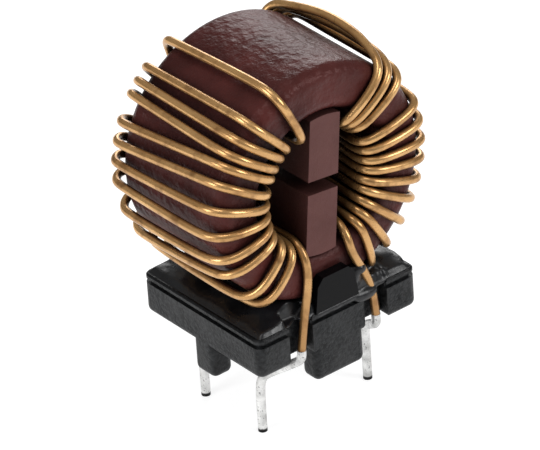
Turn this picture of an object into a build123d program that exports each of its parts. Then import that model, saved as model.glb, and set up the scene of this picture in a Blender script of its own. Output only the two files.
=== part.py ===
from build123d import *
from math import cos, radians, sin, sqrt
import os

# A two-winding toroidal inductor that stands on edge on a moulded base. Sizes in millimetres.
# The origin is the centre of the seat under the feet, +Z is up, and the ring's axis lies along Y.

# Coated ring, with rims rounded by a share of its wall
ring_outer = 22.3
ring_bore = 13.5
ring_height = 14.2
ring_round_share = 0.295

# Moulded base: feet, body, shadow groove, rim and two walls that hold the ring's faces.
# The heights on the walls are shares of the ring's wall, above its lowest point
base_margin = 0.5
base_round = 0.8
foot_height = 3.0
body_height = 3.1
groove_height = 0.45
groove_depth = 0.35
rim_height = 0.45
edge_round = 0.65
foot_thickness = 2.2
front_foot_width = 5.5
side_foot_width = 2.8
notch_x = 4.2
notch_width = 2.6
notch_clearance = 0.27
wall_width = 4.8
wall_shoulder_width = 4.1
wall_crest_width = 2.8
wall_shoulder_share = 0.44
wall_crest_share = 0.61

# Adhesive between the base and the ring: a low pool and a saddle that rises to the ring,
# as wide as a share of the ring
seat_gap = 0.6
pool_margin = 2.3
pool_height = 0.5
pool_round = 0.3
pool_inset = 0.15
saddle_width_share = 0.36
saddle_height = 1.3

# Two blocks in the bore that part the windings, turned a little with the wound ring
divider_width = 3.3
divider_gap = 1.3
divider_angle = 6

# Enamelled wire, laid around the ring with a small gap
wire_diameter = 0.8
wire_sides = 8
wire_gap = 0.1
bend_steps = 3
bow_height = 1.4
winding_angle = 70

# Leads: down the ring's faces, through the notches, then under the base to the pins
pin_diameter = 0.86
pin_length = 5.3
pin_spacing_x = 12.0
pin_spacing_y = 8.0
pin_margin = 2.9
pin_bend_height = 0.5
lead_split_height = 3.8
lead_bend_height = 2.6
lead_bend_radius = 0.8
lead_lift = 0.8
knee_height = 9.3
back_knee_x = 2.55
left_back_lead_x = 2.1
left_lead_x = 2.65
left_knee_x = 2.75
left_rim_x = 3.4
left_notch_x = 3.9
right_back_lead_x = 2.72
right_lead_x = 2.2
right_knee_x = 3.1
right_rim_x = 4.3
right_notch_x = 4.5

# Places of the turns, from the lowest to the highest, as shares of the winding angle
left_front_inner_shares = (-0.76, -0.58, -0.38, -0.23, -0.08, 0.07, 0.22, 0.40, 0.52, 0.65, 0.77, 0.98)
left_front_outer_shares = (-0.75, -0.61, -0.35, -0.22, -0.04, 0.14, 0.31, 0.43, 0.51, 0.61, 0.73, 0.96)
left_back_outer_shares = (-0.80, -0.65, -0.47, -0.27, -0.05, 0.09, 0.22, 0.35, 0.53, 0.62, 0.72, 0.93)
right_front_inner_shares = (-0.82, -0.70, -0.57, -0.43, -0.30, -0.15, -0.01, 0.15, 0.32, 0.575, 0.71, 0.85)
right_front_outer_shares = (-0.92, -0.76, -0.59, -0.43, -0.29, -0.15, -0.02, 0.12, 0.26, 0.53, 0.645, 0.745)
right_back_outer_shares = (-0.91, -0.74, -0.55, -0.40, -0.25, -0.10, 0.03, 0.16, 0.30, 0.58, 0.67, 0.76)

# How far the turns stand off the ring: outside at the front and back as shares of the ring's wall,
# in the bore as shares of the most that a turn does there, and in a bow as shares of the bow's height
left_slack_share = 0.114
right_slack_share = 0.045
back_slack_share = 0.07
bore_slack_share = 0.32
left_bore_shares = (0.25, 0.25, 0.3, 0.35, 0.4, 0.4, 0.4, 0.4, 0.4, 0.4, 0.4, 0.75)
right_bore_shares = (0.25, 0.35, 0.6, 0.8, 0.95, 1, 1, 1, 1, 0.8, 0.8, 0.8)
left_bow_shares = (0, 0, 0, 0, 0, 0, 0, 0, 0, 0, 0, 0)
right_bow_shares = (0, 0, 0, 0, 0, 0, 0, 0, 0, 0.2, 0.6, 1)

# Growth of a front bend's radius, as a share of its stand-off, and a bore bend's radius,
# as a share of the tightest bend's
slack_bend_share = 2.8
bore_bend_share = 1.39

# Step from the lead to the first turn in the bore, as a share of the winding angle
first_step_share = 0.12

# Shape of a turn that stands off the ring: along its outer run, and at its front bend
bow_run_shares = ((0.25, 0.8), (0.5, 1.0), (0.78, 0.8))
bow_corner_share = 0.4

ring_wall = (ring_outer - ring_bore) / 2
ring_round = ring_round_share * ring_wall
body_top = foot_height + body_height
base_top = body_top + groove_height + rim_height
ring_z = base_top + seat_gap + ring_outer / 2
wire_lay = wire_diameter / 2 + wire_gap
rim_radius = ring_round + wire_lay
face_y = ring_height / 2 + wire_lay
bend_y = ring_height / 2 - ring_round
back_slack = back_slack_share * ring_wall
bore_slack = bore_slack_share * ring_wall
bore_radius = bore_bend_share * rim_radius
bore_lay = ring_bore / 2 - wire_lay
base_width = pin_spacing_x + 2 * pin_margin
base_depth = 2 * (face_y + base_margin)
notch_depth = base_margin + pin_diameter / 2 + notch_clearance
wall_depth = wire_lay + base_margin
wall_shoulder_height = seat_gap + wall_shoulder_share * ring_wall
wall_height = seat_gap + wall_crest_share * ring_wall
saddle_width = saddle_width_share * ring_outer
pool_width = base_width - 2 * pool_margin
pool_depth = ring_height - 2 * pool_inset


def make_ring():
    section = make_face(Polyline(
        (ring_bore / 2, -ring_height / 2),
        (ring_outer / 2, -ring_height / 2),
        (ring_outer / 2, ring_height / 2),
        (ring_bore / 2, ring_height / 2),
        close=True,
    ))
    section = fillet(section.vertices(), ring_round)
    return Pos(Z=ring_z) * revolve(section, Axis.Y)


def make_base():
    outline = RectangleRounded(base_width, base_depth, base_round)
    neck = offset(outline, -groove_depth)
    notch = Rectangle(notch_width, 2 * notch_depth)
    for x in (-notch_x, notch_x):
        for y in (-base_depth / 2, base_depth / 2):
            outline -= Pos(x, y) * notch
            neck -= Pos(x, y) * notch
    body = extrude(Pos(Z=foot_height) * outline, body_height)
    body = fillet(body.edges().group_by(Axis.Z)[0], edge_round)
    body += extrude(Pos(Z=body_top) * neck, groove_height)
    body += extrude(Pos(Z=body_top + groove_height) * outline, rim_height)
    body = chamfer(body.edges().group_by(Axis.Z)[-1], groove_depth / 2)
    front_foot = make_foot(front_foot_width, foot_thickness)
    side_foot = make_foot(foot_thickness, side_foot_width)
    wall = make_wall()
    for side in (-1, 1):
        body += Pos(Y=side * (base_depth - foot_thickness) / 2) * front_foot
        body += Pos(X=side * (base_width - foot_thickness) / 2) * side_foot
        body += Pos(Y=side * (ring_height + wall_depth) / 2) * wall
    return body


def make_foot(width, depth):
    foot = Box(width, depth, foot_height + body_height / 2, align=(Align.CENTER, Align.CENTER, Align.MIN))
    upright = foot.edges().filter_by(Axis.Z)
    foot = fillet(upright, edge_round)
    return fillet(foot.edges().group_by(Axis.Z)[0], edge_round)


# The wall's outline narrows at a shoulder and again to its crest
def make_wall():
    outline = make_face(Polyline(
        (-wall_width / 2, 0),
        (wall_width / 2, 0),
        (wall_shoulder_width / 2, wall_shoulder_height),
        (wall_crest_width / 2, wall_height),
        (-wall_crest_width / 2, wall_height),
        (-wall_shoulder_width / 2, wall_shoulder_height),
        close=True,
    ))
    plane = Plane((0, 0, base_top), x_dir=(1, 0, 0), z_dir=(0, -1, 0))
    return extrude(plane * outline, wall_depth / 2, both=True)


def make_adhesive(ring):
    pool = extrude(RectangleRounded(pool_width, pool_depth, base_round), pool_height)
    pool = fillet(pool.edges().group_by(Axis.Z)[-1], pool_round)
    saddle = Box(saddle_width, ring_height, saddle_height, align=(Align.CENTER, Align.CENTER, Align.MIN))
    return Pos(Z=base_top) * (pool + saddle) - ring


# Each block follows the bore on one side and stops short of the other block
def make_dividers():
    bore_fill = Circle(ring_bore / 2) & Rectangle(divider_width, ring_bore)
    gap = Rectangle(ring_bore, divider_gap)
    plane = Plane((0, 0, ring_z), x_dir=(1, 0, 0), z_dir=(0, -1, 0)) * Rot(Z=-divider_angle)
    halves = [extrude(plane * face, ring_height / 2, both=True) for face in (bore_fill - gap).faces()]
    return sorted(halves, key=lambda half: half.center().Z)


# A place beside the ring: side is -1 for the left and 1 for the right, the angle is above the middle
def ring_place(side, radius, angle, y):
    return Vector(side * radius * cos(radians(angle)), y, ring_z + radius * sin(radians(angle)))


# A bend about a centre, from the first direction to the second
def bend(centre, first, second, radius):
    angles = [radians(90 * step / bend_steps) for step in range(bend_steps + 1)]
    return [centre + first * (radius * cos(a)) + second * (radius * sin(a)) for a in angles]


# A bend over one rim of the ring, from the bore or the outside to the face
def rim_bend(side, wall, face, angle, wall_slack, face_slack, radius):
    surface = ring_bore / 2 if wall < 0 else ring_outer / 2
    reach = surface + wall * (wire_lay + wall_slack - radius)
    centre = ring_place(side, reach, angle, face * (face_y + face_slack - radius))
    outward = Vector(side * cos(radians(angle)), 0, sin(radians(angle)))
    return bend(centre, outward * wall, Vector(0, face, 0), radius)


# One turn: out of the bore at the back, along the outside and over the front into the bore
def turn(side, slack, angles, bow, bore_lift):
    inner_before, inner, outer, back = angles
    points = rim_bend(side, -1, 1, (inner_before + inner) / 2, 0, 0, rim_radius)
    points += reversed(rim_bend(side, 1, 1, back, back_slack, back_slack, rim_radius))
    for along, lift in bow_run_shares if bow else ():
        radius = ring_outer / 2 + wire_lay + bow * lift
        points.append(ring_place(side, radius, back + (outer - back) * along, bend_y * (1 - 2 * along)))
    stand_off = slack + bow * bow_corner_share
    front_radius = rim_radius + slack_bend_share * stand_off
    points += rim_bend(side, 1, -1, outer, stand_off, stand_off, front_radius)
    points += reversed(rim_bend(side, -1, -1, inner, bore_lift, slack, bore_radius))
    return points


def bore_depth(x):
    return sqrt(bore_lay ** 2 - x ** 2)


# The winding's route: up the front, around the ring from the lowest turn to the highest, down the back
def winding_route(side, slack, lead, front_inner, front_outer, back_outer, bows, lifts):
    lead_x, knee_x, rim_x, foot_x, back_lead_x = [side * x for x in lead]
    up = Vector(0, 0, 1)
    lead_z = ring_z - bore_depth(lead_x) + lead_lift
    lead_centre = Vector(lead_x, bore_radius - face_y, lead_z - bore_radius)
    points = [
        Vector(foot_x, -face_y, lead_split_height),
        Vector(rim_x, -face_y, base_top),
        Vector(knee_x, -face_y, knee_height),
    ]
    points += reversed(bend(lead_centre, up, Vector(0, -1, 0), bore_radius))
    inner_before = front_inner[0] - first_step_share
    for inner, outer, back, bow, lift in zip(front_inner, front_outer, back_outer, bows, lifts):
        angles = [share * winding_angle for share in (inner_before, inner, outer, back)]
        points += turn(side, slack * ring_wall, angles, bow * bow_height, lift * bore_slack)
        inner_before = inner
    back_centre = Vector(back_lead_x, bend_y, ring_z + bore_depth(back_lead_x) - rim_radius)
    points += bend(back_centre, up, Vector(0, 1, 0), rim_radius)
    points += [
        Vector(side * back_knee_x, face_y, knee_height),
        Vector(side * notch_x, face_y, base_top),
        Vector(side * notch_x, face_y, lead_split_height),
    ]
    return points


# The enamelled wire, with a mitre at each point of its route
def make_winding(points):
    start = Plane(points[0], z_dir=points[1] - points[0])
    outline = RegularPolygon(wire_diameter / 2, wire_sides)
    return sweep(start * outline, path=Polyline(*points), transition=Transition.RIGHT)


# The tinned end of a lead: out of the notch, under the base and straight down as a pin
def make_lead_end(x, y):
    foot_x = pin_spacing_x / 2 if x > 0 else -pin_spacing_x / 2
    foot_y = pin_spacing_y / 2 if y > 0 else -pin_spacing_y / 2
    points = [
        Vector(x, y, lead_split_height),
        Vector(x, y, lead_bend_height),
        Vector(foot_x, foot_y, pin_bend_height),
        Vector(foot_x, foot_y, -pin_length),
    ]
    start = Plane(points[0], z_dir=points[1] - points[0])
    path = FilletPolyline(*points, radius=lead_bend_radius)
    return sweep(start * Circle(pin_diameter / 2), path=path)


left_route = winding_route(
    -1, left_slack_share, (left_lead_x, left_knee_x, left_rim_x, left_notch_x, left_back_lead_x),
    left_front_inner_shares, left_front_outer_shares, left_back_outer_shares,
    left_bow_shares, left_bore_shares,
)
right_route = winding_route(
    1, right_slack_share, (right_lead_x, right_knee_x, right_rim_x, right_notch_x, right_back_lead_x),
    right_front_inner_shares, right_front_outer_shares, right_back_outer_shares,
    right_bow_shares, right_bore_shares,
)
ring = make_ring()
lower_divider, upper_divider = make_dividers()

pieces = {
    "toroid_core": ring,
    "mounting_base": make_base(),
    "adhesive": make_adhesive(ring),
    "divider_upper": upper_divider,
    "divider_lower": lower_divider,
    "winding_left": make_winding(left_route),
    "winding_right": make_winding(right_route),
    "lead_end_front_left": make_lead_end(-left_notch_x, -face_y),
    "lead_end_front_right": make_lead_end(right_notch_x, -face_y),
    "lead_end_back_left": make_lead_end(-notch_x, face_y),
    "lead_end_back_right": make_lead_end(notch_x, face_y),
}

os.makedirs("parts", exist_ok=True)
for name, piece in pieces.items():
    export_step(piece, f"parts/{name}.step")
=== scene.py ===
import math

import bpy
from mathutils import Matrix, Vector, noise


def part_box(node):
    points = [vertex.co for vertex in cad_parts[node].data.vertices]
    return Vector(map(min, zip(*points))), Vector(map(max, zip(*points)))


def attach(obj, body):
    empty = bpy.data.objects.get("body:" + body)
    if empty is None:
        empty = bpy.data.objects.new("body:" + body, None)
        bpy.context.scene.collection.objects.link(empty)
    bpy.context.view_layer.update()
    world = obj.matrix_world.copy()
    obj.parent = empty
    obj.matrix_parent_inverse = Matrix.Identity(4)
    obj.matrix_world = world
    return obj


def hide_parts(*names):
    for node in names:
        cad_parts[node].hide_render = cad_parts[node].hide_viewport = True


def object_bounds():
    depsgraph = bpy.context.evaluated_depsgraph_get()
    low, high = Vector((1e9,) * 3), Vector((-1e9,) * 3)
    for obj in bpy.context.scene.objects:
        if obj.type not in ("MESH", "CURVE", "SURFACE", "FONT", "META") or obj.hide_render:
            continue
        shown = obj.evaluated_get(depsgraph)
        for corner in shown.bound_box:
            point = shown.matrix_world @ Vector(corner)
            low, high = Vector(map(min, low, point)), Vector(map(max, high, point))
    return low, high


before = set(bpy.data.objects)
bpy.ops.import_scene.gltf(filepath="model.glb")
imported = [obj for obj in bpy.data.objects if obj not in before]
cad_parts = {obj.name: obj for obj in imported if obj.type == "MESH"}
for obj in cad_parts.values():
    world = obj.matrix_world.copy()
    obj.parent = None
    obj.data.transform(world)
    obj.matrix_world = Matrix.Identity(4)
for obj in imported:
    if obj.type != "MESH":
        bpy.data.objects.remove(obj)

mm = 0.001
up = Vector((0, 0, 1))
cadLow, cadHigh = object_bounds()
ringLow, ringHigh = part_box("toroid_core")
ringZ = (ringLow.z + ringHigh.z) / 2
ringRadius = (ringHigh.x - ringLow.x) / 2
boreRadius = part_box("divider_upper")[1].z - ringZ
halfHeight = (ringHigh.y - ringLow.y) / 2   # of the ring, along its axis
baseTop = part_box("adhesive")[0].z
floorZ = cadLow.z
print("frame read")


# Camera, at the place the photograph was taken from
cameraSet = {
    "azimuth": -37.067,
    "elevation": 31.784,
    "roll": -3.993,
    "distance": 570 * mm,
    "aimSide": -0.508 * mm,    # from the axis, to the camera's right
    "aimHeight": 11.54 * mm,
    "lens": 435.47,
    "sensor": 36,
    "clip": (0.01, 20),
}


def makeCamera():
    turn, tilt, roll = (math.radians(cameraSet[key]) for key in ("azimuth", "elevation", "roll"))
    back = Vector((math.sin(turn) * math.cos(tilt), -math.cos(turn) * math.cos(tilt), math.sin(tilt)))
    right = (-back).cross(up).normalized()
    upward = right.cross(-back)
    rolledRight = right * math.cos(roll) + upward * math.sin(roll)
    rolledUp = upward * math.cos(roll) - right * math.sin(roll)
    aim = right * cameraSet["aimSide"] + up * cameraSet["aimHeight"]
    data = bpy.data.cameras.new("camera")
    data.lens = cameraSet["lens"]
    data.sensor_width = cameraSet["sensor"]
    data.sensor_fit = "HORIZONTAL"
    data.clip_start, data.clip_end = cameraSet["clip"]
    camera = bpy.data.objects.new("camera", data)
    facing = Matrix((rolledRight, rolledUp, back)).transposed().to_4x4()
    camera.matrix_world = Matrix.Translation(aim + back * cameraSet["distance"]) @ facing
    bpy.context.collection.objects.link(camera)
    bpy.context.scene.camera = camera


makeCamera()
print("camera placed")


# Shader helpers
def setInputs(node, inputs):
    for label, value in inputs.items():
        node.inputs[label].default_value = value
    return node


def addNode(tree, kind, inputs):
    return setInputs(tree.nodes.new(kind), inputs)


def newMaterial(name, inputs):
    material = bpy.data.materials.new(name)
    material.use_nodes = True
    tree = material.node_tree
    return material, tree, setInputs(tree.nodes["Principled BSDF"], inputs)


def newGroup(name, inputs, outputs):
    group = bpy.data.node_groups.new(name, "ShaderNodeTree")
    for label, value in inputs.items():
        socket = group.interface.new_socket(label, in_out="INPUT", socket_type="NodeSocketFloat")
        socket.default_value = value
    for label in outputs:
        group.interface.new_socket(label, in_out="OUTPUT", socket_type="NodeSocketFloat")
    return group, group.nodes.new("NodeGroupInput"), group.nodes.new("NodeGroupOutput")


def useGroup(tree, group, inputs):
    node = tree.nodes.new("ShaderNodeGroup")
    node.node_tree = group
    return setInputs(node, inputs)


# Between two colours or two values, each one plain or the output of another node
def mixPair(tree, kind, factor, first, second):
    node = tree.nodes.new("ShaderNodeMix")
    node.data_type = kind
    tree.links.new(factor, node.inputs["Factor"])
    for label, value in (("A", first), ("B", second)):
        if isinstance(value, bpy.types.NodeSocket):
            tree.links.new(value, node.inputs[label])
        else:
            node.inputs[label].default_value = (*value, 1) if kind == "RGBA" else value
    return node.outputs["Result"]


def mixColours(tree, factor, first, second):
    return mixPair(tree, "RGBA", factor, first, second)


def mixValues(tree, factor, first, second):
    return mixPair(tree, "FLOAT", factor, first, second)


def spread(tree, value, source=(0, 1), target=(0, 1)):
    labels = ("From Min", "From Max", "To Min", "To Max")
    node = addNode(tree, "ShaderNodeMapRange", dict(zip(labels, (*source, *target))))
    tree.links.new(value, node.inputs["Value"])
    return node.outputs["Result"]


def heightIn(tree, space):
    place = tree.nodes.new("ShaderNodeTexCoord")
    axes = tree.nodes.new("ShaderNodeSeparateXYZ")
    tree.links.new(place.outputs[space], axes.inputs["Vector"])
    return axes.outputs["Z"]


def addBump(tree, shader, height, depth, strength):
    node = addNode(tree, "ShaderNodeBump", {"Distance": depth, "Strength": strength})
    tree.links.new(height, node.inputs["Height"])
    tree.links.new(node.outputs["Normal"], shader.inputs["Normal"])


# Patchy noise in the object's own metres: Speckle is fine, Patches are broad, both from 0 to 1
grainSet = {
    "inputs": {"Fine Scale": 4000, "Broad Scale": 300},
    "layers": (("Speckle", "Fine Scale", 3), ("Patches", "Broad Scale", 2)),   # output, input, detail
    "rough": 0.6,
    "range": (0.3, 0.7),
}


def makeGrainGroup():
    outputs = [layer[0] for layer in grainSet["layers"]]
    group, start, end = newGroup("grain", grainSet["inputs"], outputs)
    place = group.nodes.new("ShaderNodeTexCoord")
    for label, source, detail in grainSet["layers"]:
        texture = addNode(group, "ShaderNodeTexNoise", {"Detail": detail, "Roughness": grainSet["rough"]})
        group.links.new(place.outputs["Object"], texture.inputs["Vector"])
        group.links.new(start.outputs[source], texture.inputs["Scale"])
        group.links.new(spread(group, texture.outputs["Fac"], grainSet["range"]), end.inputs[label])
    return group


# How open a place is to the air around it, from ambient occlusion: 0 at the bottom of a recess, 1 outside;
# the finishes darken their colour with it as painted shade
recessSet = {"inputs": {"Reach": 4 * mm}, "samples": 8, "range": (0.15, 0.75)}


def makeRecessGroup():
    group, start, end = newGroup("recess", recessSet["inputs"], ["Open"])
    shade = group.nodes.new("ShaderNodeAmbientOcclusion")
    shade.samples = recessSet["samples"]
    group.links.new(start.outputs["Reach"], shade.inputs["Distance"])
    group.links.new(spread(group, shade.outputs["AO"], recessSet["range"]), end.inputs["Open"])
    return group


grainGroup = makeGrainGroup()
recessGroup = makeRecessGroup()


# In each finish, shader holds the sockets that are the same all over, and bump is depth and strength
# Ring coat: maroon, with an orange-peel surface, and painted shade that makes it darker between the turns
# and in the bore
coatSet = {
    # the third colour on the next line is painted shade, for between the turns and the bore
    "light": (0.090, 0.023, 0.0205), "dark": (0.046, 0.0112, 0.0098), "paintedShade": (0.010, 0.0025, 0.002),
    "shader": {"IOR": 1.5, "Specular IOR Level": 0.2, "Specular Tint": (1, 0.66, 0.64, 1)},
    "grain": {"Fine Scale": 5200, "Broad Scale": 260},
    "recess": {"Reach": 3 * mm},
    "rough": (0.28, 0.44),
    "deepRough": 0.55,
    "peel": {"Scale": 1200, "Detail": 3, "Roughness": 0.5},
    "bump": (0.2 * mm, 1.0),
}


def makeRingCoat():
    material, tree, shader = newMaterial("ringCoat", coatSet["shader"])
    grain = useGroup(tree, grainGroup, coatSet["grain"])
    recess = useGroup(tree, recessGroup, coatSet["recess"])
    colour = mixColours(tree, grain.outputs["Patches"], coatSet["dark"], coatSet["light"])
    # painted shade: the colour grows darker where the ring is closed in, between the turns and in the bore
    colour = mixColours(tree, recess.outputs["Open"], coatSet["paintedShade"], colour)
    tree.links.new(colour, shader.inputs["Base Color"])
    rough = spread(tree, grain.outputs["Speckle"], target=coatSet["rough"])
    rough = mixValues(tree, recess.outputs["Open"], coatSet["deepRough"], rough)
    tree.links.new(rough, shader.inputs["Roughness"])
    place = tree.nodes.new("ShaderNodeTexCoord")
    peel = addNode(tree, "ShaderNodeTexNoise", coatSet["peel"])
    tree.links.new(place.outputs["Object"], peel.inputs["Vector"])
    addBump(tree, shader, peel.outputs["Fac"], *coatSet["bump"])
    return material


# Blocks in the bore: plain brown with a dull skin, with painted shade that makes them dark on the sides
dividerSet = {
    # the third colour on the next line is painted shade, for the sides
    "light": (0.125, 0.050, 0.045), "dark": (0.098, 0.037, 0.033), "paintedShade": (0.036, 0.011, 0.009),
    "shader": {"IOR": 1.46, "Specular IOR Level": 0.25},
    "grain": {"Fine Scale": 6000, "Broad Scale": 350},
    "recess": {"Reach": 6 * mm},
    "openRange": (0.5, 0.95),
    "rough": (0.55, 0.75),
    "bump": (0.02 * mm, 0.5),
}


def makeDividerPlastic():
    material, tree, shader = newMaterial("dividerPlastic", dividerSet["shader"])
    grain = useGroup(tree, grainGroup, dividerSet["grain"])
    recess = useGroup(tree, recessGroup, dividerSet["recess"])
    lit = spread(tree, recess.outputs["Open"], dividerSet["openRange"])
    colour = mixColours(tree, grain.outputs["Patches"], dividerSet["dark"], dividerSet["light"])
    # painted shade: darker where the block is closed in by the bore, on its sides
    colour = mixColours(tree, lit, dividerSet["paintedShade"], colour)
    tree.links.new(colour, shader.inputs["Base Color"])
    rough = spread(tree, grain.outputs["Speckle"], target=dividerSet["rough"])
    tree.links.new(rough, shader.inputs["Roughness"])
    addBump(tree, shader, grain.outputs["Speckle"], *dividerSet["bump"])
    return material


# Enamelled copper: tan under a clear coat, with painted shade that makes it dark where the wire lies in the
# bore
wireSet = {
    "light": (0.72, 0.425, 0.172), "dark": (0.48, 0.258, 0.093), "stain": (0.21, 0.092, 0.027),
    # painted shade, for where the wire lies in the bore
    "paintedShade": (0.025, 0.009, 0.003),
    "shader": {"Metallic": 0.7, "IOR": 1.5, "Coat Roughness": 0.12},
    "grain": {"Fine Scale": 700, "Broad Scale": 260},
    "recess": {"Reach": 7 * mm},
    "openRange": (0.08, 0.55),
    "stainRange": (0.55, 1.0), "stainAmount": (0, 0.7),
    "lowDarkenRange": (12 * mm, 5 * mm),   # heights between which the wire grows darker towards the bottom
    "lowDarkenAmount": (0, 0.5),
    "rough": (0.24, 0.36),
    "coat": (0, 0.12),
    "bump": (0.008 * mm, 0.5),
}


def makeEnamel():
    material, tree, shader = newMaterial("enamelledCopper", wireSet["shader"])
    grain = useGroup(tree, grainGroup, wireSet["grain"])
    recess = useGroup(tree, recessGroup, wireSet["recess"])
    stain = spread(tree, grain.outputs["Speckle"], wireSet["stainRange"], wireSet["stainAmount"])
    # darker towards the bottom of the wire, between the two heights
    lowDarken = spread(tree, heightIn(tree, "Object"), wireSet["lowDarkenRange"], wireSet["lowDarkenAmount"])
    lit = spread(tree, recess.outputs["Open"], wireSet["openRange"])
    colour = mixColours(tree, grain.outputs["Patches"], wireSet["dark"], wireSet["light"])
    colour = mixColours(tree, stain, colour, wireSet["stain"])
    colour = mixColours(tree, lowDarken, colour, wireSet["stain"])
    # painted shade: dark where the wire is closed in, in the bore
    colour = mixColours(tree, lit, wireSet["paintedShade"], colour)
    tree.links.new(colour, shader.inputs["Base Color"])
    tree.links.new(spread(tree, lit, target=wireSet["coat"]), shader.inputs["Coat Weight"])
    rough = spread(tree, grain.outputs["Speckle"], target=wireSet["rough"])
    tree.links.new(rough, shader.inputs["Roughness"])
    addBump(tree, shader, grain.outputs["Speckle"], *wireSet["bump"])
    return material


# Base: black moulding with a fine spark-eroded texture, wet with adhesive on top and on the walls
baseSet = {
    "light": (0.024, 0.0256, 0.0275), "dark": (0.0015, 0.0017, 0.002), "wet": (0.002, 0.002, 0.0025),
    "shader": {"IOR": 1.5, "Specular IOR Level": 0.1, "Coat Roughness": 0.4},
    "grain": {"Fine Scale": 2600, "Broad Scale": 420},
    "wetFrom": 0.25 * mm,      # below the top of the base
    "wetOver": 0.3 * mm,
    "rough": (0.36, 0.52), "wetRough": 0.26,
    "skin": (0.05, 0.4), "wetSkin": 0,   # weight of the coat
    "bump": (0.06 * mm, 1.0),
    "wetLevel": 0.5,           # the texture is filled to here
}


def makeBasePlastic():
    material, tree, shader = newMaterial("mouldedPlastic", baseSet["shader"])
    grain = useGroup(tree, grainGroup, baseSet["grain"])
    wetLow = baseTop - baseSet["wetFrom"]
    wet = spread(tree, heightIn(tree, "Object"), (wetLow, wetLow + baseSet["wetOver"]))
    colour = mixColours(tree, grain.outputs["Speckle"], baseSet["dark"], baseSet["light"])
    colour = mixColours(tree, wet, colour, baseSet["wet"])
    tree.links.new(colour, shader.inputs["Base Color"])
    rough = spread(tree, grain.outputs["Patches"], target=baseSet["rough"])
    tree.links.new(mixValues(tree, wet, rough, baseSet["wetRough"]), shader.inputs["Roughness"])
    skin = spread(tree, grain.outputs["Patches"], target=baseSet["skin"])
    tree.links.new(mixValues(tree, wet, skin, baseSet["wetSkin"]), shader.inputs["Coat Weight"])
    texture = mixValues(tree, wet, grain.outputs["Speckle"], baseSet["wetLevel"])
    addBump(tree, shader, texture, *baseSet["bump"])
    return material


# Adhesive: glossy black
glueSet = {
    "light": (0.009, 0.0095, 0.011), "dark": (0.004, 0.004, 0.005),
    "shader": {"IOR": 1.5, "Specular IOR Level": 0.4},
    "grain": {"Fine Scale": 1500, "Broad Scale": 400},
    "rough": (0.24, 0.42),
    "bump": (0.12 * mm, 0.7),
}


def makeGlue():
    material, tree, shader = newMaterial("glossyAdhesive", glueSet["shader"])
    grain = useGroup(tree, grainGroup, glueSet["grain"])
    colour = mixColours(tree, grain.outputs["Patches"], glueSet["dark"], glueSet["light"])
    tree.links.new(colour, shader.inputs["Base Color"])
    rough = spread(tree, grain.outputs["Speckle"], target=glueSet["rough"])
    tree.links.new(rough, shader.inputs["Roughness"])
    addBump(tree, shader, grain.outputs["Patches"], *glueSet["bump"])
    return material


# Tinned wire: pale solder with dark specks and a dark tip
tinSet = {
    "light": (0.90, 0.90, 0.89), "dark": (0.42, 0.42, 0.41),
    "speck": (0.12, 0.12, 0.12), "tip": (0.02, 0.02, 0.02),
    "grain": {"Fine Scale": 3600, "Broad Scale": 900},
    "speckRange": (0.72, 1.0),
    "tipLength": 0.4 * mm,
    "tipFade": 0.12 * mm,
    "metal": (0.7, 1.0),       # on the wire and on the tip
    "rough": (0.25, 0.5),
    "bump": (0.03 * mm, 0.5),
}


def makeTin():
    material, tree, shader = newMaterial("tinnedWire", {})
    grain = useGroup(tree, grainGroup, tinSet["grain"])
    specks = spread(tree, grain.outputs["Speckle"], tinSet["speckRange"])
    tipTop = floorZ + tinSet["tipLength"]
    tip = spread(tree, heightIn(tree, "Object"), (tipTop - tinSet["tipFade"], tipTop), (1, 0))
    colour = mixColours(tree, grain.outputs["Patches"], tinSet["dark"], tinSet["light"])
    colour = mixColours(tree, specks, colour, tinSet["speck"])
    colour = mixColours(tree, tip, colour, tinSet["tip"])
    tree.links.new(colour, shader.inputs["Base Color"])
    tree.links.new(spread(tree, tip, target=tinSet["metal"]), shader.inputs["Metallic"])
    rough = spread(tree, grain.outputs["Speckle"], target=tinSet["rough"])
    tree.links.new(rough, shader.inputs["Roughness"])
    addBump(tree, shader, grain.outputs["Speckle"], *tinSet["bump"])
    return material


ringCoat = makeRingCoat()
dividerPlastic = makeDividerPlastic()
enamel = makeEnamel()
basePlastic = makeBasePlastic()
glue = makeGlue()
tin = makeTin()
print("materials made")


# Solids that keep their CAD shape get only a finish
def dressNode(name, material):
    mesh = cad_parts[name].data
    mesh.materials.clear()
    mesh.materials.append(material)


for name, material in (("toroid_core", ringCoat), ("divider_upper", dividerPlastic),
                       ("divider_lower", dividerPlastic), ("mounting_base", basePlastic)):
    dressNode(name, material)
print("solids dressed")


# Round wire on a smooth line through the points of its route
lineSet = {"order": 4, "steps": 5, "roundSteps": 5}


def makeWire(name, points, radius, material, node):
    curve = bpy.data.curves.new(name, "CURVE")
    curve.dimensions = "3D"
    curve.bevel_depth = radius
    curve.bevel_resolution = lineSet["roundSteps"]
    curve.use_fill_caps = True
    spline = curve.splines.new("NURBS")
    spline.points.add(len(points) - 1)
    for point, place in zip(spline.points, points):
        point.co = (*place, 1)
    spline.order_u = lineSet["order"]
    spline.use_endpoint_u = True
    spline.resolution_u = lineSet["steps"]
    curve.materials.append(material)
    wire = bpy.data.objects.new(name, curve)
    bpy.context.collection.objects.link(wire)
    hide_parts(node)
    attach(wire, "root")


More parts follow.
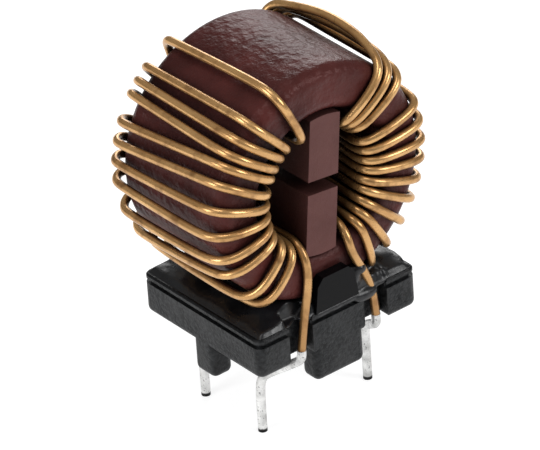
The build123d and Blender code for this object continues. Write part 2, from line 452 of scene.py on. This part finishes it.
# Both windings: sizes of the wire and of the way it lies on the ring
coilSet = {
    "wire": 0.8 * mm,
    "gap": 0.1 * mm,
    "angle": 70,               # reach of a winding above and below the middle, in degrees
    "rimRound": 0.295,         # of the ring's wall, as are the next two
    "backSlack": 0.07,
    "boreSlack": 0.32,
    "bendSteps": 3,
    "slackBend": 2.8,          # growth of a front bend's radius with its stand-off
    "boreBend": 1.39,          # of the tightest bend's radius
    "bowHeight": 1.4 * mm,
    "bowRun": ((0.25, 0.8), (0.5, 1.0), (0.78, 0.8)),   # shares of the way to the front and of the height
    "bowCorner": 0.4,          # of the bow's height, at the front rim
    "firstStep": 0.12,         # of the angle, from the lead to the lowest turn
    "leadLift": 0.8 * mm,
    "kneeHeight": 9.3 * mm,
    "backKnee": 2.55 * mm,
    "backNotch": 4.2 * mm,
    "split": 3.8 * mm,         # height where the tinned end begins
}

# Each turn: in the bore at the front, outside at the front and outside at the back, as shares of the angle,
# then its bow and its stand-off in the bore, as shares of the greatest
leftSet = {
    "side": -1, "slack": 0.114, "lead": 2.65 * mm, "knee": 2.75 * mm, "rim": 3.4 * mm, "notch": 3.9 * mm,
    "backLead": 2.1 * mm,
    "turns": (
        (-0.76, -0.75, -0.80, 0, 0.25), (-0.58, -0.61, -0.65, 0, 0.25), (-0.38, -0.35, -0.47, 0, 0.3),
        (-0.23, -0.22, -0.27, 0, 0.35), (-0.08, -0.04, -0.05, 0, 0.4), (0.07, 0.14, 0.09, 0, 0.4),
        (0.22, 0.31, 0.22, 0, 0.4), (0.40, 0.43, 0.35, 0, 0.4), (0.52, 0.51, 0.53, 0, 0.4),
        (0.65, 0.61, 0.62, 0, 0.4), (0.77, 0.73, 0.72, 0, 0.4), (0.98, 0.96, 0.93, 0, 0.75),
    ),
}
rightSet = {
    "side": 1, "slack": 0.045, "lead": 2.2 * mm, "knee": 3.1 * mm, "rim": 4.3 * mm, "notch": 4.5 * mm,
    "backLead": 2.72 * mm,
    "turns": (
        (-0.82, -0.92, -0.91, 0, 0.25), (-0.70, -0.76, -0.74, 0, 0.35), (-0.57, -0.59, -0.55, 0, 0.6),
        (-0.43, -0.43, -0.40, 0, 0.8), (-0.30, -0.29, -0.25, 0, 0.95), (-0.15, -0.15, -0.10, 0, 1),
        (-0.01, -0.02, 0.03, 0, 1), (0.15, 0.12, 0.16, 0, 1), (0.32, 0.26, 0.30, 0, 1),
        (0.575, 0.53, 0.58, 0.2, 0.8), (0.71, 0.645, 0.67, 0.6, 0.8), (0.85, 0.745, 0.76, 1, 0.8),
    ),
}
ringWall = ringRadius - boreRadius
wireLay = coilSet["wire"] / 2 + coilSet["gap"]
rimRadius = coilSet["rimRound"] * ringWall + wireLay
boreBend = coilSet["boreBend"] * rimRadius
backSlack = coilSet["backSlack"] * ringWall
faceY = halfHeight + wireLay
bendY = faceY - rimRadius


def ringPlace(side, radius, angle, y):
    turned = math.radians(angle)
    return Vector((side * radius * math.cos(turned), y, ringZ + radius * math.sin(turned)))


def bendPoints(centre, first, second, radius):
    steps = coilSet["bendSteps"]
    angles = [math.pi / 2 * step / steps for step in range(steps + 1)]
    return [centre + (first * math.cos(a) + second * math.sin(a)) * radius for a in angles]


# Over one rim: wall is -1 in the bore and 1 outside, face is -1 at the front and 1 at the back
def rimBend(side, wall, face, angle, wallSlack, faceSlack, radius):
    surface = boreRadius if wall < 0 else ringRadius
    reach = surface + wall * (wireLay + wallSlack - radius)
    centre = ringPlace(side, reach, angle, face * (faceY + faceSlack - radius))
    outward = ringPlace(side, 1, angle, 0) - Vector((0, 0, ringZ))
    return bendPoints(centre, outward * wall, Vector((0, face, 0)), radius)


def turnPoints(side, slack, angles, bow, boreLift):
    before, inner, outer, back = angles
    points = rimBend(side, -1, 1, (before + inner) / 2, 0, 0, rimRadius)
    points += reversed(rimBend(side, 1, 1, back, backSlack, backSlack, rimRadius))
    for along, lift in coilSet["bowRun"] if bow else ():
        radius = ringRadius + wireLay + bow * lift
        points.append(ringPlace(side, radius, back + (outer - back) * along, bendY * (1 - 2 * along)))
    standOff = slack + bow * coilSet["bowCorner"]
    frontRadius = rimRadius + coilSet["slackBend"] * standOff
    # the wire goes straight across the face, so both bends leave out their last point
    points += rimBend(side, 1, -1, outer, standOff, standOff, frontRadius)[:-1]
    points += reversed(rimBend(side, -1, -1, inner, boreLift, slack, boreBend)[:-1])
    return points


# Up the front from the notch, around the ring from the lowest turn to the highest, down the back
def coilRoute(piece):
    side, angle = piece["side"], coilSet["angle"]
    frontRise, backRise = (math.sqrt((boreRadius - wireLay) ** 2 - piece[key] ** 2)
                           for key in ("lead", "backLead"))
    leadZ = ringZ - frontRise + coilSet["leadLift"]
    frontCentre = Vector((side * piece["lead"], boreBend - faceY, leadZ - boreBend))
    backCentre = Vector((side * piece["backLead"], bendY, ringZ + backRise - rimRadius))
    points = [Vector((side * x, -faceY, z)) for x, z in (
        (piece["notch"], coilSet["split"]), (piece["rim"], baseTop),
        (piece["knee"], coilSet["kneeHeight"]))]
    points += reversed(bendPoints(frontCentre, up, Vector((0, -1, 0)), boreBend))
    before = piece["turns"][0][0] - coilSet["firstStep"]
    for inner, outer, back, bow, lift in piece["turns"]:
        angles = [share * angle for share in (before, inner, outer, back)]
        points += turnPoints(side, piece["slack"] * ringWall, angles, bow * coilSet["bowHeight"],
                             lift * coilSet["boreSlack"] * ringWall)
        before = inner
    points += bendPoints(backCentre, up, Vector((0, 1, 0)), rimRadius)
    points += [Vector((side * x, faceY, z)) for x, z in (
        (coilSet["backKnee"], coilSet["kneeHeight"]), (coilSet["backNotch"], baseTop),
        (coilSet["backNotch"], coilSet["split"]))]
    return points


for name, piece in (("left", leftSet), ("right", rightSet)):
    makeWire(f"{name}Winding", coilRoute(piece), coilSet["wire"] / 2, enamel,
             f"winding_{name}")
print("windings laid")


# Tinned ends: out of the notch, under the base and down as pins
pinSet = {
    "diameter": 0.86 * mm,
    "x": 6.0 * mm, "y": 4.0 * mm,   # from the middle of the pin pattern
    "leadBend": 2.6 * mm,      # height of the upper bend
    "leadRun": 0.4 * mm,       # straight above it
    "pinBend": 0.5 * mm,       # height of the lower bend
    "pinRun": 0.8 * mm,        # straight below it
}


def makePin(node, x, y):
    footX, footY = math.copysign(pinSet["x"], x), math.copysign(pinSet["y"], y)
    points = [Vector((x, y, z)) for z in (
        coilSet["split"], pinSet["leadBend"] + pinSet["leadRun"], pinSet["leadBend"])]
    points += [Vector((footX, footY, z)) for z in (
        pinSet["pinBend"], pinSet["pinBend"] - pinSet["pinRun"], floorZ)]
    makeWire(node.replace("lead_end", "pin"), points, pinSet["diameter"] / 2, tin, node)


makePin("lead_end_front_left", -leftSet["notch"], -faceY)
makePin("lead_end_front_right", rightSet["notch"], -faceY)
makePin("lead_end_back_left", -coilSet["backNotch"], faceY)
makePin("lead_end_back_right", coilSet["backNotch"], faceY)
print("pins made")


# Adhesive: a pool on the base that climbs to the ring, the walls and the leads
adhesiveSet = {
    "halfWidth": 8.8 * mm,
    "halfDepth": 6.95 * mm,    # behind the notches
    "pool": 0.42 * mm,
    "edge": 0.9 * mm,          # width of the round shore
    "apronEdge": 0.5,          # of that width, at the front and back
    "notchEdge": 0.3,          # and behind the notches
    "notch": (4.2 * mm, 1.45 * mm),   # middle and half width
    "saddle": 4.2 * mm,        # half width of what touches the ring
    "shore": 2.6 * mm,         # how far the climb to the ring reaches out
    "overlap": 0.1 * mm,       # into the ring, so that no gap shows
    "lumps": 0.08 * mm,
    "lumpScale": 300,
    "cells": (140, 120),
    "sink": 0.05 * mm,         # into the base, so that no gap shows
    "mounds": (                # x, y, height and radius, in millimetres
        (6.0, -2.4, 1.3, 2.0), (6.6, 1.4, 0.9, 2.2), (6.6, -5.6, 0.9, 2.2), (7.6, -3.4, 0.5, 2.4),
        (2.9, -7.4, 2.2, 1.2), (4.5, -7.5, 1.0, 1.2), (-2.9, -7.2, 0.8, 0.8), (-5.8, -5.2, 0.9, 2.2),
        (-5.6, -1.0, 0.8, 2.6), (-5.6, 4.0, 0.8, 2.6), (5.8, 4.6, 0.6, 2.2),
    ),
    "moundFall": 2,            # steepness of a mound's sides
    "moundCut": 0.05,          # share of its height where its foot ends
    "apron": 7.95 * mm,        # half depth that the mounds may reach
    "blobs": (                 # middle and half sizes in millimetres, and bluntness
        ((2.95, -7.75, 9.15), (0.6, 0.45, 0.5), 2), ((3.2, -7.85, 6.5), (1.3, 0.5, 0.6), 3),
        ((2.35, -7.35, 8.3), (0.95, 0.7, 1.25), 2), ((4.95, -6.9, 7.1), (0.95, 0.85, 0.9), 2),
        ((7.1, -4.9, 7.0), (1.6, 2.7, 0.85), 3),   # the right block
        ((0, -7.8, 6.72), (2.6, 0.34, 0.36), 8),   # feet of the walls
        ((0, 7.8, 6.72), (2.6, 0.34, 0.36), 8),
    ),
    "blobCells": (20, 12),
    "blobLumps": 0.16,         # of the half sizes
    "blobLumpScale": 1.3,      # per millimetre
    "thin": 0.03 * mm,         # none where the adhesive is thinner
    "slab": 0.3 * mm,          # depth of the closed underside
    "voxel": 0.13 * mm,        # the pool and the blobs run together at this grain
    "melt": (0.5, 3),          # smoothing and its rounds
}


def smoothStep(low, high, value):
    t = min(max((value - low) / (high - low), 0), 1)
    return t * t * (3 - 2 * t)


# Falls from 1 to 0 over the last stretch before the shore
def shoreAt(limit, width, value):
    return smoothStep(limit, limit - width, abs(value))


def moundHeight(x, y):
    height = 0
    for moundX, moundY, top, radius in adhesiveSet["mounds"]:
        distance = math.hypot(x - moundX * mm, y - moundY * mm) / (radius * mm)
        swell = math.exp(-adhesiveSet["moundFall"] * distance * distance)
        height += top * mm * max(swell - adhesiveSet["moundCut"], 0)
    return height


def glueHeight(x, y):
    edge, pool = adhesiveSet["edge"], adhesiveSet["pool"]
    shoreX = shoreAt(adhesiveSet["halfWidth"], edge, x)
    apron = shoreAt(adhesiveSet["apron"], edge * adhesiveSet["apronEdge"], y)
    notchX, notchHalf = adhesiveSet["notch"]
    shoreY = apron
    if abs(abs(x) - notchX) < notchHalf:
        shoreY = shoreAt(adhesiveSet["halfDepth"], edge * adhesiveSet["notchEdge"], y)
    height = pool * shoreY + moundHeight(x, y) * apron
    ringUnder = ringZ - math.sqrt(ringRadius ** 2 - x ** 2) - baseTop
    climb = shoreAt(adhesiveSet["saddle"] + adhesiveSet["shore"], adhesiveSet["shore"], x) * shoreY
    height += (max(ringUnder + adhesiveSet["overlap"], height) - height) * climb * climb
    lumps = adhesiveSet["lumps"] * noise.noise(Vector((x, y, 0)) * adhesiveSet["lumpScale"])
    return (height + lumps * min(height / pool, 1)) * shoreX


# A lumpy ball with its poles along X, squeezed to its half sizes; a blunt one is nearer to a rod
def addBlob(corners, faces, middle, sizes, blunt):
    around, rows = adhesiveSet["blobCells"]
    first = len(corners)
    for row in range(rows + 1):
        tilt = math.pi * row / rows
        girth = (1 - abs(math.cos(tilt)) ** blunt) ** (1 / blunt)
        for column in range(around):
            turn = 2 * math.pi * column / around
            ball = Vector((math.cos(tilt), girth * math.cos(turn), girth * math.sin(turn))) * sizes
            lump = noise.noise((ball + middle) / mm * adhesiveSet["blobLumpScale"])
            corners.append(middle + ball * (1 + adhesiveSet["blobLumps"] * lump))
    for row in range(rows):
        for column in range(around):
            low, following = first + row * around, (column + 1) % around
            faces.append((low + column, low + following, low + around + following, low + around + column))


# The pool's top, then the same faces turned over as its underside, and a rim between the two
def addPool(corners, faces):
    columns, rows = adhesiveSet["cells"]
    bed = baseTop - adhesiveSet["sink"]
    heights = []
    for row in range(rows + 1):
        y = adhesiveSet["apron"] * (2 * row / rows - 1)
        for column in range(columns + 1):
            x = adhesiveSet["halfWidth"] * (2 * column / columns - 1)
            heights.append(glueHeight(x, y))
            corners.append((x, y, bed + heights[-1]))
    across, under = columns + 1, len(corners)
    corners += [(x, y, bed - adhesiveSet["slab"]) for x, y, z in corners]
    for row in range(rows):
        for column in range(columns):
            first = row * across + column
            face = (first, first + 1, first + across + 1, first + across)
            if max(heights[corner] for corner in face) > adhesiveSet["thin"]:
                faces.append(face)
    edges = {(face[n - 1], face[n]) for face in faces for n in range(4)}
    faces += [tuple(corner + under for corner in reversed(face)) for face in faces]
    faces += [(b, a, a + under, b + under) for a, b in sorted(edges) if (b, a) not in edges]


def makeAdhesive():
    corners, faces = [], []
    addPool(corners, faces)
    for middle, sizes, blunt in adhesiveSet["blobs"]:
        addBlob(corners, faces, Vector(middle) * mm, Vector(sizes) * mm, blunt)
    mesh = bpy.data.meshes.new("adhesiveBed")
    mesh.from_pydata(corners, [], faces)
    for polygon in mesh.polygons:
        polygon.use_smooth = True
    mesh.materials.append(glue)
    bed = bpy.data.objects.new("adhesiveBed", mesh)
    bpy.context.collection.objects.link(bed)
    union = bed.modifiers.new("runTogether", "REMESH")
    union.mode = "VOXEL"
    union.voxel_size = adhesiveSet["voxel"]
    union.use_smooth_shade = True
    soften = bed.modifiers.new("soften", "SMOOTH")
    soften.factor, soften.iterations = adhesiveSet["melt"]
    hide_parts("adhesive")
    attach(bed, "root")


makeAdhesive()
print("adhesive poured")


# Pale floor and soft studio light
studioSet = {
    "floorSize": 3.0,
    "floorLight": (0.5, 0.5, 0.5), "floorDark": (0.495, 0.495, 0.495),
    "floorShader": {"Roughness": 0.8, "Emission Strength": 0.78, "Emission Color": (1, 1, 1, 1)},
    "floorGrain": {"Fine Scale": 60, "Broad Scale": 6},
    "lights": (                # name, place in metres, size in metres, watts
        ("keyBox", (0.26, -0.42, 0.30), 0.26, 1.3),
        ("leftBox", (-0.46, 0.02, 0.20), 0.26, 1.0),
        ("backBox", (0.36, 0.37, 0.20), 0.26, 0.7),
        ("topBox", (-0.08, -0.06, 0.50), 0.24, 0.55),
    ),
    "sky": ((0.0, 0.04), (0.25, 0.14), (0.6, 0.32), (1.0, 0.32)),   # height of a direction, brightness
}


def makeFloor():
    half = studioSet["floorSize"] / 2
    corners = [(x * half, y * half, floorZ) for x, y in ((-1, -1), (1, -1), (1, 1), (-1, 1))]
    mesh = bpy.data.meshes.new("floor")
    mesh.from_pydata(corners, [], [(0, 1, 2, 3)])
    material, tree, shader = newMaterial("paleFloor", studioSet["floorShader"])
    grain = useGroup(tree, grainGroup, studioSet["floorGrain"])
    colour = mixColours(tree, grain.outputs["Patches"], studioSet["floorLight"], studioSet["floorDark"])
    tree.links.new(colour, shader.inputs["Base Color"])
    mesh.materials.append(material)
    floor = bpy.data.objects.new("floor", mesh)
    bpy.context.collection.objects.link(floor)


def makeLights():
    for name, place, size, watts in studioSet["lights"]:
        data = bpy.data.lights.new(name, "AREA")
        data.shape = "DISK"
        data.size = size
        data.energy = watts
        light = bpy.data.objects.new(name, data)
        light.location = place
        aim = Vector((0, 0, ringZ)) - light.location
        light.rotation_euler = aim.to_track_quat("-Z", "Y").to_euler()
        bpy.context.collection.objects.link(light)


def makeSky():
    world = bpy.data.worlds.new("studio")
    world.use_nodes = True
    tree = world.node_tree
    ramp = tree.nodes.new("ShaderNodeValToRGB")
    tree.links.new(heightIn(tree, "Generated"), ramp.inputs["Fac"])
    steps, elements = studioSet["sky"], ramp.color_ramp.elements
    for height, shade in steps[1:-1]:   # a new ramp has its two ends
        elements.new(height)
    for element, (height, shade) in zip(elements, steps):
        element.position = height
        element.color = (shade, shade, shade, 1)
    tree.links.new(ramp.outputs["Color"], tree.nodes["Background"].inputs["Color"])
    bpy.context.scene.world = world


makeFloor()
makeLights()
makeSky()
bpy.context.scene.view_settings.view_transform = "Standard"
print("studio lit")
